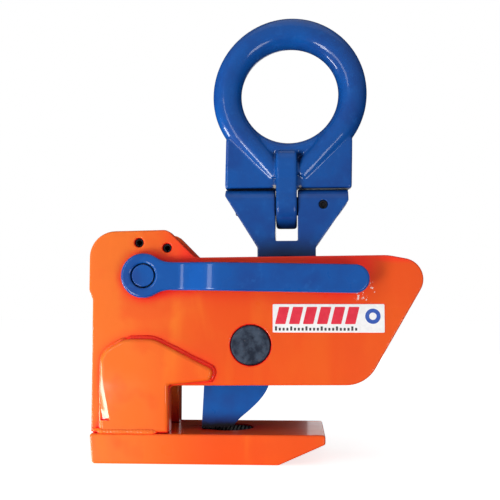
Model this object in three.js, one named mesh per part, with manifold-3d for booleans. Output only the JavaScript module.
// Plate lifting clamp with a hinged lifting eye and a locking lever.
// Millimetres. X runs towards the open mouth of the jaw, Y away from the lever side, Z up.
// The origin lies in the mid-plane, on the underside of the jaw base, straight below the cam pin.
import * as THREE from 'three';
import { mergeVertices } from 'three/addons/utils/BufferGeometryUtils.js';
import Module from 'manifold-3d';

const wasm = await Module();
wasm.setup();

// ---------- driving dimensions ----------
const GAP = 0.3; // clearance kept between neighbouring pieces
const ROUND = 32; // sides of a large round

// jaw base
const BASE_HALF_DEPTH = 38;
const BASE_TOP = 21;
const BASE_LEFT = -114;
const BASE_RIGHT = 52.7;
const BASE_NOSE_HEIGHT = 6.5;
const BASE_CHAMFER_START = 20;

// jaw pad and its screw
const PAD_X = -18;
const PAD_RADIUS = 18;
const PAD_FLOOR = 9.5;
const PAD_RIDGES = 5;
const PAD_RIDGE_DEPTH = 1;
const SCREW_RADIUS = 3;
const SCREW_HEAD_RADIUS = 6;

// side plates, called cheeks
const CHEEK_INNER = 19;
const CHEEK_OUTER = 31;
const THROAT_ROOF = 54;
const THROAT_BACK = -58.1;
const DOUBLER_OUTER = 37;

// spacers between the cheeks
const SPINE_LEFT = -112;
const SPINE_RIGHT = -78;
const SPINE_TOP = 95;
const NOSE_SPACER = { x0: 84, x1: 100, z0: 100, z1: 128 };

// cam pin
const PIN_Z = 83;
const PIN_HEAD_RADIUS = 14.1;
const PIN_RADIUS = 13;
const PIN_HEAD_PROUD = 1.5;

// cam, measured from the cam pin
const CAM_HALF = 15;
const CAM_HUB_RADIUS = 17.8;
const CORE_HALF = 8;
const CORE_HUB_RADIUS = 24;
const LUG = { x: 26, z: 20, radius: 13.5 };
const CAM_TIP = { x: -36.5, z: -61.5 };
const CAM_HEEL = { x: -14, z: -60.5 };
const CAM_TEETH = 7;
const CAM_TOOTH_DEPTH = 1.6;

// links between the cam lug and the shackle plate
const LINK_LENGTH = 30;
const LINK_END_RADIUS = 12.5;
const LINK_INNER = 8.4;
const LINK_OUTER = 14.4;
const LINK_PIN_RADIUS = 7;
const LINK_PIN_HALF = 18;
const OPEN_PIVOT = { x: 0.57, drop: 29.65, clearance: 1 };

// shackle plate and hinge
const SHACKLE_X = 25.7;
const SHACKLE_HALF = 12.5;
const SHACKLE_HALF_WIDTH = 46;
const NECK_HALF_WIDTH = 21.6;
const NECK_TOP = 154;
const HINGE_Z = 186;
const HINGE_PIN_RADIUS = 7;
const HINGE_PIN_HALF = 38.5;
const SLOT_HALF = 8.3;
const SLOT_FLOOR = 159;
const EAR_LEFT_Z = HINGE_Z + 7;
const EAR_RIGHT_Z = HINGE_Z + 3;
const LOCK_PIN_X = 52.9;
const TANG_RADIUS = 14.2;
const ANCHOR = { x: 8.5, z: 134, radius: 2.5 };
const SPRING_SLOT_HALF = 4;
const LINK_ROOM = LINK_END_RADIUS + 1.5;
const THROUGH = 20; // half length of a cutter that goes right through the shackle plate

// lifting eye, heights measured from the hinge axis
const EYE_CENTRE = 85.1;
const EYE_RING_RADIUS = 47.6;
const EYE_BAR_RADIUS = 10.8;
const EYE_CROWN = 0.09; // share by which the bar is thicker at the crown
const EYE_OFFSET = 1;
const EYE_LEAN = 0.019;
const EYE_WEB_BOTTOM = 12.9;
const EYE_WEB_HALF = 7;
const EYE_WEB_HALF_WIDTH = 47.6;
const TONGUE_HALF = 7.8;
const TONGUE_HUB_RADIUS = 17.2;

// lever and crank, measured from the lever shaft
const LEVER = { x: -76, z: 132.4 };
const LEVER_HUB_RADIUS = 15.9;
const LEVER_LENGTH = 149.4;
const LEVER_HALF_WIDTH = 10;
const LEVER_NECK_RADIUS = 20;
const LEVER_SAG = 1.05; // degrees
const LEVER_BACK = -33.5;
const LEVER_THICK = 8;
const LEVER_BENDS = [29, 48];
const LEVER_STEP = 9.5;
const SHAFT_RADIUS = 8;
const CRANK_RADIUS = 24;
const CRANK_ANGLE = 127.5;
const TAIL_ANGLE = 240.9;
const CRANK_INNER = 11.6;
const CRANK_OUTER = 18.6;
const CRANK_PIN_RADIUS = 4;
const STOP_LOCKED = { x: -80.9, z: 156.6 };
const STOP_UNLOCKED = { x: -60.4, z: 152.7 };
const STOP_RADIUS = 3;

// tension spring between crank and shackle plate
const SPRING_RADIUS = 4.4;
const SPRING_WIRE = 1.1;
const SPRING_TURNS = 9;
const SPRING_START_TAIL = 54;
const SPRING_END_TAIL = 14;

// label
const LABEL = { x0: 15.9, x1: 95, z0: 92, z1: 112.2, thick: 0.4 };

// ---------- materials ----------
function paint(color, roughness, metalness) {
  return new THREE.MeshStandardMaterial({ color, roughness, metalness });
}
const orangePaint = paint('#f2631f', 0.35, 0.1);
const bluePaint = paint('#1c55a3', 0.35, 0.1);
const darkSteel = paint('#2d3a52', 0.45, 0.8);
const blackSteel = paint('#1d1c20', 0.6, 0.7);
const brightSteel = paint('#8d9197', 0.35, 0.9);
const labelWhite = paint('#f4f4f2', 0.4, 0.0);

// ---------- geometry helpers ----------
const degrees = (angle) => (angle * Math.PI) / 180;
const polar = (radius, angle) => new THREE.Vector2(
  radius * Math.cos(degrees(angle)),
  radius * Math.sin(degrees(angle)),
);

// Closed outline from corners [x, z, radius], each corner rounded by its own radius.
function outline(corners, step = 12) {
  const points = [];
  corners.forEach(([x, z, radius = 0], index) => {
    const corner = new THREE.Vector2(x, z);
    if (radius === 0) {
      points.push(corner);
      return;
    }
    const before = corners[(index + corners.length - 1) % corners.length];
    const after = corners[(index + 1) % corners.length];
    const back = new THREE.Vector2(before[0] - x, before[1] - z).normalize();
    const ahead = new THREE.Vector2(after[0] - x, after[1] - z).normalize();
    const half = Math.acos(THREE.MathUtils.clamp(back.dot(ahead), -1, 1)) / 2;
    const centre = back.clone().add(ahead).normalize().multiplyScalar(radius / Math.sin(half)).add(corner);
    const start = back.clone().multiplyScalar(radius / Math.tan(half)).add(corner).sub(centre);
    const turn = Math.PI - 2 * half;
    const side = Math.sign(back.x * ahead.y - back.y * ahead.x) || 1;
    const count = Math.max(2, Math.ceil(THREE.MathUtils.radToDeg(turn) / step));
    for (let i = 0; i <= count; i += 1) {
      const angle = (-side * turn * i) / count;
      points.push(start.clone().rotateAround(new THREE.Vector2(), angle).add(centre));
    }
  });
  return points;
}

// Points on a circle arc about (x, z), from one angle to another, both ends included.
function arc(x, z, radius, from, to, count) {
  const points = [];
  for (let i = 0; i <= count; i += 1) {
    points.push(polar(radius, from + ((to - from) * i) / count).add(new THREE.Vector2(x, z)));
  }
  return points;
}

function circle(x, z, radius, sides = ROUND) {
  return arc(x, z, radius, 0, 360, sides).slice(0, -1);
}

// Plate drawn in the XZ plane, with round or free holes, filling Y from y0 to y1.
function plate(points, y0, y1, holes = []) {
  const shape = new THREE.Shape(points);
  shape.holes = holes.map((hole) => new THREE.Path(hole));
  const geometry = new THREE.ExtrudeGeometry(shape, { depth: y1 - y0, bevelEnabled: false });
  geometry.rotateX(Math.PI / 2);
  geometry.translate(0, y1, 0);
  return geometry;
}

// Plate drawn in the YZ plane, filling X from x0 to x1.
function crossPlate(points, x0, x1) {
  const geometry = plate(points, x0, x1);
  geometry.rotateZ(-Math.PI / 2);
  return geometry;
}

function block(x0, x1, y0, y1, z0, z1) {
  const geometry = new THREE.BoxGeometry(x1 - x0, y1 - y0, z1 - z0);
  geometry.translate((x0 + x1) / 2, (y0 + y1) / 2, (z0 + z1) / 2);
  return geometry;
}

function rod(x, z, radius, y0, y1, sides = ROUND) {
  const geometry = new THREE.CylinderGeometry(radius, radius, y1 - y0, sides);
  geometry.translate(x, (y0 + y1) / 2, z);
  return geometry;
}

function crossRod(x0, x1, z, radius, sides = ROUND) {
  const geometry = rod(0, 0, radius, x0, x1, sides);
  geometry.rotateZ(-Math.PI / 2);
  geometry.translate(0, 0, z);
  return geometry;
}

// Body turned about the Y axis from a profile of [radius, y] points.
function turned(profile, sides = ROUND) {
  return new THREE.LatheGeometry(profile.map(([radius, y]) => new THREE.Vector2(radius, y)), sides);
}

function washer(inner, outer, y0, y1, sides = ROUND) {
  return turned([[inner, y0], [outer, y0], [outer, y1], [inner, y1], [inner, y0]], sides);
}

// ---------- boolean helpers ----------
function solid(geometry) {
  const bare = geometry.clone();
  bare.deleteAttribute('normal');
  bare.deleteAttribute('uv');
  const merged = mergeVertices(bare, 1e-3);
  return new wasm.Manifold(new wasm.Mesh({
    numProp: 3,
    vertProperties: new Float32Array(merged.attributes.position.array),
    triVerts: new Uint32Array(merged.index.array),
  }));
}

function geometryOf(manifold) {
  const { vertProperties, triVerts } = manifold.getMesh();
  const geometry = new THREE.BufferGeometry();
  geometry.setAttribute('position', new THREE.BufferAttribute(new Float32Array(vertProperties), 3));
  geometry.setIndex(new THREE.BufferAttribute(new Uint32Array(triVerts), 1));
  geometry.computeVertexNormals();
  return geometry;
}

function join(first, ...others) {
  return geometryOf(others.reduce((whole, other) => whole.add(solid(other)), solid(first)));
}

function cut(first, ...tools) {
  return geometryOf(tools.reduce((whole, tool) => whole.subtract(solid(tool)), solid(first)));
}

function common(first, second) {
  return geometryOf(solid(first).intersect(solid(second)));
}

// ---------- groups, one for each moving body ----------
const clamp = new THREE.Group();
const camGroup = new THREE.Group();
camGroup.position.set(0, 0, PIN_Z);
const shackleGroup = new THREE.Group();
const eyeGroup = new THREE.Group();
eyeGroup.position.set(SHACKLE_X, 0, HINGE_Z);
const leverGroup = new THREE.Group();
leverGroup.position.set(LEVER.x, 0, LEVER.z);
clamp.add(camGroup, shackleGroup, eyeGroup, leverGroup);

function addTo(group, name, geometry, material, x = 0, y = 0, z = 0) {
  const mesh = new THREE.Mesh(geometry, material);
  mesh.name = name;
  mesh.position.set(x, y, z);
  group.add(mesh);
}

// ---------- welded body ----------
function jawBase() {
  const profile = outline([
    [BASE_LEFT + 2, 0, 2],
    [BASE_CHAMFER_START, 0, 6],
    [BASE_RIGHT, BASE_TOP - BASE_NOSE_HEIGHT, 2],
    [BASE_RIGHT, BASE_TOP, 2],
    [BASE_LEFT, BASE_TOP, 2],
  ], 30);
  const socket = new THREE.CylinderGeometry(PAD_RADIUS + GAP, PAD_RADIUS + GAP, BASE_TOP, ROUND);
  socket.rotateX(Math.PI / 2);
  socket.translate(PAD_X, 0, PAD_FLOOR - GAP + BASE_TOP / 2);
  return cut(plate(profile, -BASE_HALF_DEPTH, BASE_HALF_DEPTH), socket, screwShape(GAP));
}

// Countersunk screw standing on its head, grown by a clearance when it is used as a cutter.
function screwShape(grow) {
  const head = SCREW_HEAD_RADIUS + grow;
  const shank = SCREW_RADIUS + grow;
  const low = grow > 0 ? -1 : 0.6;
  const geometry = turned([
    [0, low],
    [head, low],
    [head, 1.4 + grow],
    [shank, 1.4 + grow + head - shank],
    [shank, PAD_FLOOR + 6],
    [0, PAD_FLOOR + 6],
  ], 24);
  geometry.rotateX(Math.PI / 2);
  geometry.translate(PAD_X, 0, 0);
  return geometry;
}

function jawPad() {
  const top = BASE_TOP - 0.1;
  const ridge = PAD_RADIUS / PAD_RIDGES;
  const profile = [[0, PAD_FLOOR], [PAD_RADIUS, PAD_FLOOR], [PAD_RADIUS, top - PAD_RIDGE_DEPTH]];
  for (let i = PAD_RIDGES - 1; i >= 0; i -= 1) {
    profile.push([(i + 0.5) * ridge, top]);
    profile.push([i * ridge, top - PAD_RIDGE_DEPTH]);
  }
  const geometry = turned(profile);
  geometry.rotateX(Math.PI / 2);
  geometry.translate(PAD_X, 0, 0);
  return cut(geometry, screwShape(GAP));
}

function padScrew() {
  const socket = new THREE.CylinderGeometry(2, 2, 6, 6);
  socket.rotateX(Math.PI / 2);
  socket.translate(PAD_X, 0, 1);
  return cut(screwShape(0), socket);
}

const cheekOutline = outline([
  [-114.3, BASE_TOP + GAP, 0],
  [-114.3, 115.5, 6],
  [-117, 122, 6],
  [-117, 164.7, 19],
  [-60, 165.9, 8],
  [-40, 145.7, 6],
  [98, 147.1, 30],
  [131.4, 140.8, 15],
  [81.6, THROAT_ROOF + 1, 24],
  [THROAT_BACK, THROAT_ROOF, 4],
  [THROAT_BACK, BASE_TOP + GAP, 0],
]);

function cheek(y0, y1, pinHole) {
  return plate(cheekOutline, y0, y1, [
    circle(0, PIN_Z, pinHole),
    circle(LEVER.x, LEVER.z, SHAFT_RADIUS + GAP, 28),
    circle(STOP_LOCKED.x, STOP_LOCKED.z, STOP_RADIUS + GAP, 18),
    circle(STOP_UNLOCKED.x, STOP_UNLOCKED.z, STOP_RADIUS + GAP, 18),
  ]);
}

const doublerOutline = outline([
  [-107, BASE_TOP + GAP, 0],
  [-107, 78, 14],
  [-90, 87.5, 20],
  [-69, 87.5, 20],
  [-25.5, 65.5, 4],
  [-28.5, 58, 3.5],
  [THROAT_BACK, 55, 2],
  [THROAT_BACK, BASE_TOP + GAP, 0],
]);

function addBody() {
  addTo(clamp, 'jaw_base', jawBase(), orangePaint);
  addTo(clamp, 'jaw_pad', jawPad(), blackSteel);
  addTo(clamp, 'pad_screw', padScrew(), darkSteel);
  addTo(clamp, 'front_cheek', cheek(-CHEEK_OUTER, -CHEEK_INNER, PIN_HEAD_RADIUS + GAP), orangePaint);
  addTo(clamp, 'rear_cheek', cheek(CHEEK_INNER, CHEEK_OUTER, PIN_RADIUS + GAP), orangePaint);
  const near = CHEEK_OUTER + GAP;
  addTo(clamp, 'front_doubler', plate(doublerOutline, -DOUBLER_OUTER, -near), orangePaint);
  addTo(clamp, 'rear_doubler', plate(doublerOutline, near, DOUBLER_OUTER), orangePaint);
  const inner = CHEEK_INNER - GAP;
  const spine = outline([
    [SPINE_LEFT, BASE_TOP + GAP, 0],
    [SPINE_LEFT - 1, SPINE_TOP, 6],
    [SPINE_RIGHT, SPINE_TOP, 6],
    [SPINE_RIGHT, BASE_TOP + GAP, 0],
  ], 30);
  addTo(clamp, 'spine_block', plate(spine, -inner, inner), orangePaint);
  const { x0, x1, z0, z1 } = NOSE_SPACER;
  const nose = outline([[x0, z0, 5], [x1, z0, 5], [x1, z1, 5], [x0, z1, 5]], 30);
  addTo(clamp, 'nose_spacer', plate(nose, -inner, inner), orangePaint);
}

// Roll pin: a short tube pressed through both cheeks, its ends sunk a little.
function rollPin(length, radius) {
  return washer(radius - 1.2, radius, -length / 2, length / 2, 18);
}

function addStops() {
  const length = 2 * CHEEK_OUTER - 5;
  const stops = [['locked_stop_pin', STOP_LOCKED], ['unlocked_stop_pin', STOP_UNLOCKED]];
  stops.forEach(([name, { x, z }]) => addTo(clamp, name, rollPin(length, STOP_RADIUS), darkSteel, x, 0, z));
}

function camPin() {
  const grooveStart = CHEEK_OUTER + GAP + 2.5 + GAP;
  const groove = PIN_RADIUS - 1.5;
  const tail = grooveStart + 4.5;
  const face = -CHEEK_OUTER - PIN_HEAD_PROUD;
  return turned([
    [0, face],
    [PIN_HEAD_RADIUS - 1, face],
    [PIN_HEAD_RADIUS, face + 1],
    [PIN_HEAD_RADIUS, -CHEEK_INNER - GAP],
    [PIN_RADIUS, -CHEEK_INNER - GAP],
    [PIN_RADIUS, grooveStart],
    [groove, grooveStart],
    [groove, grooveStart + 2.4],
    [PIN_RADIUS, grooveStart + 2.4],
    [PIN_RADIUS, tail - 1],
    [PIN_RADIUS - 1, tail],
    [0, tail],
  ]);
}

// Snap ring open at one side.
function snapRing(inner, outer, y0, y1) {
  const opening = 20;
  const ring = [
    ...arc(0, 0, outer, -90 + opening, 270 - opening, 28),
    ...arc(0, 0, inner, 270 - opening, -90 + opening, 28),
  ];
  return plate(ring, y0, y1);
}

function addCamPin() {
  addTo(clamp, 'cam_pin', camPin(), darkSteel, 0, 0, PIN_Z);
  const start = CHEEK_OUTER + GAP;
  const bore = PIN_RADIUS + GAP;
  addTo(clamp, 'cam_pin_washer', washer(bore, 20, start, start + 2.5), brightSteel, 0, 0, PIN_Z);
  const ringStart = start + 2.5 + 2 * GAP;
  const ring = snapRing(PIN_RADIUS - 1.5 + GAP, 16, ringStart, ringStart + 1.8);
  addTo(clamp, 'cam_pin_snap_ring', ring, darkSteel, 0, 0, PIN_Z);
  const y0 = CAM_HALF + GAP;
  const y1 = CHEEK_INNER - GAP;
  addTo(clamp, 'cam_washer_front', washer(bore, 20, -y1, -y0), brightSteel, 0, 0, PIN_Z);
  addTo(clamp, 'cam_washer_rear', washer(bore, 20, y0, y1), brightSteel, 0, 0, PIN_Z);
}

// ---------- cam and its lug pin ----------
// Toothed gripping edge, from the tip to the heel.
function camTeeth() {
  const points = [];
  for (let i = 0; i < CAM_TEETH; i += 1) {
    const tooth = new THREE.Vector2(CAM_TIP.x, CAM_TIP.z).lerp(
      new THREE.Vector2(CAM_HEEL.x, CAM_HEEL.z),
      i / (CAM_TEETH - 1),
    );
    points.push(tooth);
    if (i < CAM_TEETH - 1) {
      const pitch = (CAM_HEEL.x - CAM_TIP.x) / (CAM_TEETH - 1);
      points.push(new THREE.Vector2(tooth.x + pitch * 0.6, tooth.y + CAM_TOOTH_DEPTH));
    }
  }
  return points;
}

function cam() {
  const belly = new THREE.SplineCurve([
    new THREE.Vector2(CAM_HEEL.x, CAM_HEEL.z),
    new THREE.Vector2(-9.5, -54.5),
    new THREE.Vector2(-1.5, -47.6),
    new THREE.Vector2(6.2, -40),
    new THREE.Vector2(11.5, -32),
    new THREE.Vector2(15.5, -20),
  ]).getPoints(12);
  const thick = [
    ...camTeeth().slice(0, -1),
    ...belly,
    ...arc(0, 0, CAM_HUB_RADIUS, -10, 150, 12),
    new THREE.Vector2(-32, -8),
    new THREE.Vector2(-34.6, -24),
  ];
  const core = [
    ...arc(0, 0, CORE_HUB_RADIUS, 70, 205, 10),
    new THREE.Vector2(-10, -34),
    new THREE.Vector2(8, -34),
    ...arc(LUG.x, LUG.z, LUG.radius, -45, 95, 12),
  ];
  return cut(
    join(plate(thick, -CAM_HALF, CAM_HALF), plate(core, -CORE_HALF, CORE_HALF)),
    rod(0, 0, PIN_RADIUS + GAP, -CAM_HALF - 1, CAM_HALF + 1),
    rod(LUG.x, LUG.z, LINK_PIN_RADIUS + GAP, -CAM_HALF - 1, CAM_HALF + 1),
  );
}

// Plain pin with chamfered ends, held between the cheeks.
function linkPin() {
  const end = LINK_PIN_HALF;
  const radius = LINK_PIN_RADIUS;
  return turned([
    [0, -end], [radius - 1, -end], [radius, 1 - end], [radius, end - 1], [radius - 1, end], [0, end],
  ]);
}

function addCam() {
  addTo(camGroup, 'cam', cam(), bluePaint);
  addTo(camGroup, 'lug_pin', linkPin(), darkSteel, LUG.x, 0, LUG.z);
}

// ---------- links ----------
function link(y0, y1) {
  const outer = [
    ...arc(0, 0, LINK_END_RADIUS, 0, 180, 14),
    ...arc(0, -LINK_LENGTH, LINK_END_RADIUS, 180, 360, 14),
  ];
  return plate(outer, y0, y1, [
    circle(0, 0, LINK_PIN_RADIUS + GAP),
    circle(OPEN_PIVOT.x, -OPEN_PIVOT.drop, LINK_PIN_RADIUS + OPEN_PIVOT.clearance),
  ]);
}

function addLinks() {
  const top = PIN_Z + LUG.z + LINK_LENGTH;
  addTo(shackleGroup, 'link_front', link(-LINK_OUTER, -LINK_INNER), darkSteel, LUG.x, 0, top);
  addTo(shackleGroup, 'link_rear', link(LINK_INNER, LINK_OUTER), darkSteel, LUG.x, 0, top);
}

// ---------- shackle plate ----------
function shacklePlate() {
  const pinZ = PIN_Z + LUG.z + LINK_LENGTH;
  const left = SHACKLE_X - SHACKLE_HALF_WIDTH;
  const right = SHACKLE_X + SHACKLE_HALF_WIDTH;
  const neckLeft = SHACKLE_X - NECK_HALF_WIDTH;
  const neckRight = SHACKLE_X + NECK_HALF_WIDTH;
  const front = [
    ...arc(LUG.x, pinZ, TANG_RADIUS, 225, 315, 8),
    new THREE.Vector2(neckRight, ANCHOR.z - 4),
    new THREE.Vector2(neckRight, NECK_TOP),
    new THREE.Vector2(right, EAR_RIGHT_Z),
    new THREE.Vector2(right, HINGE_Z + SHACKLE_HALF),
    new THREE.Vector2(left, HINGE_Z + SHACKLE_HALF),
    new THREE.Vector2(left, EAR_LEFT_Z),
    new THREE.Vector2(neckLeft, NECK_TOP),
    new THREE.Vector2(neckLeft, ANCHOR.z - 6),
  ];
  const side = [
    ...arc(0, HINGE_Z, SHACKLE_HALF, 0, 180, 16),
    new THREE.Vector2(-SHACKLE_HALF, 100),
    new THREE.Vector2(SHACKLE_HALF, 100),
  ];
  const body = common(plate(front, -THROUGH, THROUGH), crossPlate(side, left - 1, right + 1));
  const recess = (y0, y1) => join(
    rod(LUG.x, pinZ, LINK_ROOM, y0, y1),
    block(LUG.x - LINK_ROOM, LUG.x + LINK_ROOM + 6, y0, y1, pinZ - 40, pinZ),
  );
  const slot = [SHACKLE_X - SLOT_HALF, SHACKLE_X + SLOT_HALF];
  const springSlot = [neckLeft - 5, ANCHOR.x + 6.5];
  return cut(
    body,
    recess(-THROUGH, -CORE_HALF),
    recess(CORE_HALF, THROUGH),
    block(...slot, -THROUGH, THROUGH, SLOT_FLOOR, HINGE_Z + 30),
    block(...springSlot, -SPRING_SLOT_HALF, SPRING_SLOT_HALF, ANCHOR.z - 20, ANCHOR.z + 8),
    rod(LUG.x, pinZ, LINK_PIN_RADIUS + GAP, -THROUGH, THROUGH),
    rod(ANCHOR.x, ANCHOR.z, ANCHOR.radius + GAP, -THROUGH, THROUGH, 16),
    crossRod(SHACKLE_X - HINGE_PIN_HALF - GAP, right + 1, HINGE_Z, HINGE_PIN_RADIUS + GAP),
    rod(LOCK_PIN_X, HINGE_Z, STOP_RADIUS + GAP, -THROUGH, THROUGH, 18),
  );
}

function hingePin() {
  return cut(
    crossRod(SHACKLE_X - HINGE_PIN_HALF, SHACKLE_X + HINGE_PIN_HALF, HINGE_Z, HINGE_PIN_RADIUS),
    rod(LOCK_PIN_X, HINGE_Z, STOP_RADIUS + GAP, -THROUGH, THROUGH, 18),
  );
}

function addShackle() {
  addTo(shackleGroup, 'shackle_plate', shacklePlate(), bluePaint);
  addTo(shackleGroup, 'shackle_pin', linkPin(), darkSteel, LUG.x, 0, PIN_Z + LUG.z + LINK_LENGTH);
  addTo(shackleGroup, 'hinge_pin', hingePin(), darkSteel);
  const lock = rollPin(2 * SHACKLE_HALF - 3, STOP_RADIUS);
  addTo(shackleGroup, 'hinge_pin_lock', lock, darkSteel, LOCK_PIN_X, 0, HINGE_Z);
  const anchor = rod(0, 0, ANCHOR.radius, -SHACKLE_HALF + 0.5, SHACKLE_HALF - 0.5, 16);
  addTo(shackleGroup, 'spring_anchor_pin', anchor, darkSteel, ANCHOR.x, 0, ANCHOR.z);
}

// ---------- lifting eye ----------
// Ring of round bar, a little thicker at the crown.
function eyeRing() {
  const ring = new THREE.TorusGeometry(EYE_RING_RADIUS, EYE_BAR_RADIUS, 16, 48);
  const { position } = ring.attributes;
  const point = new THREE.Vector3();
  for (let i = 0; i < position.count; i += 1) {
    point.fromBufferAttribute(position, i);
    const middle = new THREE.Vector3(point.x, point.y, 0).setLength(EYE_RING_RADIUS);
    const rise = Math.max(0, middle.y / EYE_RING_RADIUS);
    point.sub(middle).multiplyScalar(1 + EYE_CROWN * rise * rise).add(middle);
    position.setXYZ(i, point.x, point.y, point.z);
  }
  ring.rotateX(Math.PI / 2);
  ring.translate(0, 0, EYE_CENTRE);
  return ring;
}

// Ring, web and legs lean a little towards the mouth; the tongue stays square to the hinge.
function liftingEye() {
  const shoulder = EYE_CENTRE - 34;
  const web = plate(outline([
    [-EYE_WEB_HALF_WIDTH, EYE_WEB_BOTTOM, 2],
    [EYE_WEB_HALF_WIDTH, EYE_WEB_BOTTOM, 2],
    [EYE_WEB_HALF_WIDTH, shoulder, 0],
    [-EYE_WEB_HALF_WIDTH, shoulder, 0],
  ], 45), -EYE_WEB_HALF, EYE_WEB_HALF);
  const window = rod(0, EYE_CENTRE, EYE_RING_RADIUS - EYE_BAR_RADIUS + 0.5, -20, 20, 48);
  const head = join(cut(join(web, eyeLeg(-1), eyeLeg(1)), window), eyeRing());
  head.applyMatrix4(new THREE.Matrix4().makeShear(0, 0, 0, 0, EYE_LEAN, 0));
  head.translate(EYE_OFFSET, 0, 0);
  const tongue = crossPlate([
    ...arc(0, 0, TONGUE_HUB_RADIUS, -210, 30, 22),
    new THREE.Vector2(EYE_BAR_RADIUS, 26),
    new THREE.Vector2(EYE_BAR_RADIUS - 1, 42),
    new THREE.Vector2(1 - EYE_BAR_RADIUS, 42),
    new THREE.Vector2(-EYE_BAR_RADIUS, 26),
  ], -TONGUE_HALF, TONGUE_HALF);
  return cut(
    join(head, tongue),
    crossRod(-20, 20, 0, HINGE_PIN_RADIUS + GAP),
    block(-60, -TONGUE_HALF, -20, 20, -20, EYE_WEB_BOTTOM),
    block(TONGUE_HALF, 60, -20, 20, -20, EYE_WEB_BOTTOM),
  );
}

// Rounded leg that runs from the ring down towards the tongue on one side.
function eyeLeg(side) {
  const low = new THREE.Vector3(side * 9, 0, 18);
  const high = new THREE.Vector3(side * 36, 0, EYE_CENTRE - 32);
  const length = low.distanceTo(high);
  const geometry = new THREE.CylinderGeometry(EYE_BAR_RADIUS, EYE_BAR_RADIUS - 1, length, 20);
  const up = new THREE.Vector3(0, 1, 0);
  const direction = high.clone().sub(low).normalize();
  geometry.applyQuaternion(new THREE.Quaternion().setFromUnitVectors(up, direction));
  geometry.translate(...low.add(high).multiplyScalar(0.5).toArray());
  return geometry;
}

// ---------- lever ----------
// Outline of the lever: round hub, filleted neck, straight bar with a round end.
function leverOutline() {
  const away = LEVER_HALF_WIDTH + LEVER_NECK_RADIUS;
  const neck = Math.sqrt((LEVER_HUB_RADIUS + LEVER_NECK_RADIUS) ** 2 - away ** 2);
  const meet = THREE.MathUtils.radToDeg(Math.atan2(away, neck));
  return [
    ...arc(0, 0, LEVER_HUB_RADIUS, meet, 360 - meet, 26),
    ...arc(neck, -away, LEVER_NECK_RADIUS, 180 - meet, 90, 4).slice(1),
    ...arc(LEVER_LENGTH, 0, LEVER_HALF_WIDTH, -90, 90, 14),
    ...arc(neck, away, LEVER_NECK_RADIUS, 270, 180 + meet, 4).slice(0, -1),
  ];
}

// The bar is bent outwards twice, so that it clears the cheek.
function leverArm() {
  const [bendStart, bendEnd] = LEVER_BENDS;
  const far = LEVER_LENGTH + 20;
  const back = [[-20, 0], [bendStart, 0], [bendEnd, -LEVER_STEP], [far, -LEVER_STEP]];
  const front = back.map(([x, y]) => [x, y - LEVER_THICK]).reverse();
  const planView = new THREE.ExtrudeGeometry(
    new THREE.Shape([...back, ...front].map(([x, y]) => new THREE.Vector2(x, y + LEVER_BACK))),
    { depth: 60, bevelEnabled: false },
  );
  planView.translate(0, 0, -30);
  const bar = common(plate(leverOutline(), LEVER_BACK - 20, LEVER_BACK), planView);
  bar.rotateY(degrees(LEVER_SAG));
  const bore = SHAFT_RADIUS + GAP;
  const face = LEVER_BACK - LEVER_THICK;
  const countersink = turned([[0, face - 1], [bore + 2.6, face - 1], [bore, face + 2], [0, face + 2]]);
  return cut(bar, rod(0, 0, bore, -60, 0), countersink);
}

// Crank web with an arm for the spring pin and a tail that meets the unlocked stop.
function crankWeb(y0, y1) {
  const arm = polar(CRANK_RADIUS, CRANK_ANGLE);
  const tail = polar(CRANK_RADIUS, TAIL_ANGLE);
  const hub = plate(circle(0, 0, 13, 28), y0, y1);
  const spoke = (end, angle, width) => plate([
    ...arc(end.x, end.y, width, angle - 90, angle + 90, 10),
    polar(width + 1.5, angle + 90),
    polar(width + 1.5, angle - 90),
  ], y0, y1);
  return cut(
    join(hub, spoke(arm, CRANK_ANGLE, 7.5), spoke(tail, TAIL_ANGLE, 6)),
    rod(0, 0, SHAFT_RADIUS + GAP, y0 - 1, y1 + 1),
    rod(arm.x, arm.y, CRANK_PIN_RADIUS + GAP, y0 - 1, y1 + 1, 20),
  );
}

function rearShaft() {
  const grooveStart = CHEEK_OUTER + GAP + 1.8 + GAP;
  const groove = SHAFT_RADIUS - 1;
  const end = grooveStart + 3.5;
  return turned([
    [0, CRANK_INNER + GAP],
    [SHAFT_RADIUS, CRANK_INNER + GAP],
    [SHAFT_RADIUS, grooveStart],
    [groove, grooveStart],
    [groove, grooveStart + 1.8],
    [SHAFT_RADIUS, grooveStart + 1.8],
    [SHAFT_RADIUS, end - 0.8],
    [SHAFT_RADIUS - 0.8, end],
    [0, end],
  ], 28);
}

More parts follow.
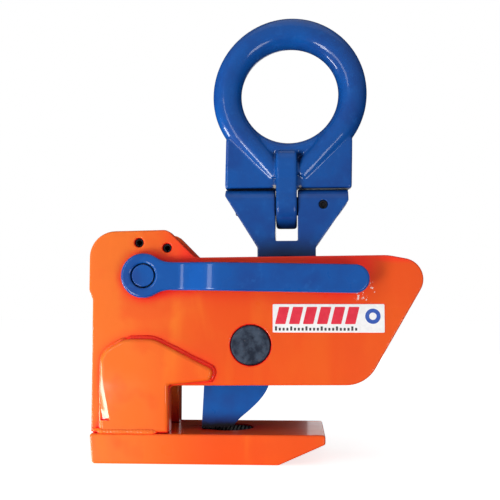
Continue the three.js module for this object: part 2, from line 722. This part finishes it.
function addLever() {
  addTo(leverGroup, 'lever_arm', leverArm(), bluePaint);
  const shaftFace = LEVER_BACK - LEVER_THICK + GAP;
  const shaft = turned([
    [0, shaftFace],
    [SHAFT_RADIUS - 0.6, shaftFace],
    [SHAFT_RADIUS, shaftFace + 0.6],
    [SHAFT_RADIUS, -CRANK_INNER - GAP],
    [0, -CRANK_INNER - GAP],
  ], 28);
  addTo(leverGroup, 'lever_shaft', shaft, bluePaint);
  addTo(leverGroup, 'rear_shaft', rearShaft(), darkSteel);
  addTo(leverGroup, 'crank_web_front', crankWeb(-CRANK_OUTER, -CRANK_INNER), darkSteel);
  addTo(leverGroup, 'crank_web_rear', crankWeb(CRANK_INNER, CRANK_OUTER), darkSteel);
  const arm = polar(CRANK_RADIUS, CRANK_ANGLE);
  const pin = rod(0, 0, CRANK_PIN_RADIUS, -CRANK_OUTER + GAP, CRANK_OUTER - GAP, 20);
  addTo(leverGroup, 'crank_pin', pin, darkSteel, arm.x, 0, arm.y);
  const bore = SHAFT_RADIUS + GAP;
  const near = CHEEK_OUTER + GAP;
  addTo(leverGroup, 'lever_washer', washer(bore, 13, -near - 1.8, -near, 28), brightSteel);
  addTo(leverGroup, 'rear_shaft_washer', washer(bore, 13, near, near + 1.8, 28), brightSteel);
  const ringStart = near + 1.8 + 2 * GAP;
  const ring = snapRing(SHAFT_RADIUS - 1 + GAP, 10.5, ringStart, ringStart + 1.2);
  addTo(leverGroup, 'rear_shaft_snap_ring', ring, darkSteel);
}

// ---------- tension spring ----------
// Path of the wire: hook round the crank pin, straight tail, coils, tail, hook round the anchor pin.
function springPath() {
  const start = polar(CRANK_RADIUS, CRANK_ANGLE).add(new THREE.Vector2(LEVER.x, LEVER.z));
  const end = new THREE.Vector2(ANCHOR.x, ANCHOR.z);
  const span = end.distanceTo(start);
  const angle = end.clone().sub(start).angle();
  const coilStart = SPRING_START_TAIL;
  const coilEnd = span - SPRING_END_TAIL;
  const startHook = CRANK_PIN_RADIUS + 2 * GAP + SPRING_WIRE;
  const endHook = ANCHOR.radius + 2 * GAP + SPRING_WIRE;
  const local = [];
  for (let i = 0; i <= 8; i += 1) {
    const turn = degrees(60 + (240 * i) / 8);
    local.push([startHook * Math.cos(turn), 0, startHook * Math.sin(turn)]);
  }
  local.push([startHook + 8, 0, -1], [coilStart / 2, 0, -1], [coilStart - 6, 0, -1]);
  for (let i = 0; i <= SPRING_TURNS * 8; i += 1) {
    const turn = (Math.PI * 2 * i) / 8 - Math.PI / 2;
    const along = coilStart + ((coilEnd - coilStart) * i) / (SPRING_TURNS * 8);
    local.push([along, SPRING_RADIUS * Math.cos(turn), SPRING_RADIUS * Math.sin(turn)]);
  }
  for (let i = 0; i <= 6; i += 1) {
    const turn = degrees(240 + (210 * i) / 6);
    local.push([span + endHook * Math.cos(turn), 0, endHook * Math.sin(turn)]);
  }
  return new THREE.CatmullRomCurve3(local.map(([along, y, up]) => {
    const point = new THREE.Vector2(along, up).rotateAround(new THREE.Vector2(), angle).add(start);
    return new THREE.Vector3(point.x, y, point.y);
  }));
}

function tensionSpring() {
  const section = new THREE.Shape(circle(0, 0, SPRING_WIRE, 5));
  const path = springPath();
  return new THREE.ExtrudeGeometry(section, {
    steps: 150,
    extrudePath: path,
    bevelEnabled: false,
  });
}

function addTrim() {
  addTo(clamp, 'tension_spring', tensionSpring(), brightSteel);
  const face = -CHEEK_OUTER - 0.1;
  const label = block(LABEL.x0, LABEL.x1, face - LABEL.thick, face, LABEL.z0, LABEL.z1);
  addTo(clamp, 'label_plate', label, labelWhite);
}

addBody();
addStops();
addCamPin();
addCam();
addLinks();
addShackle();
addTo(eyeGroup, 'lifting_eye', liftingEye(), bluePaint);
addLever();
addTrim();

export default clamp;
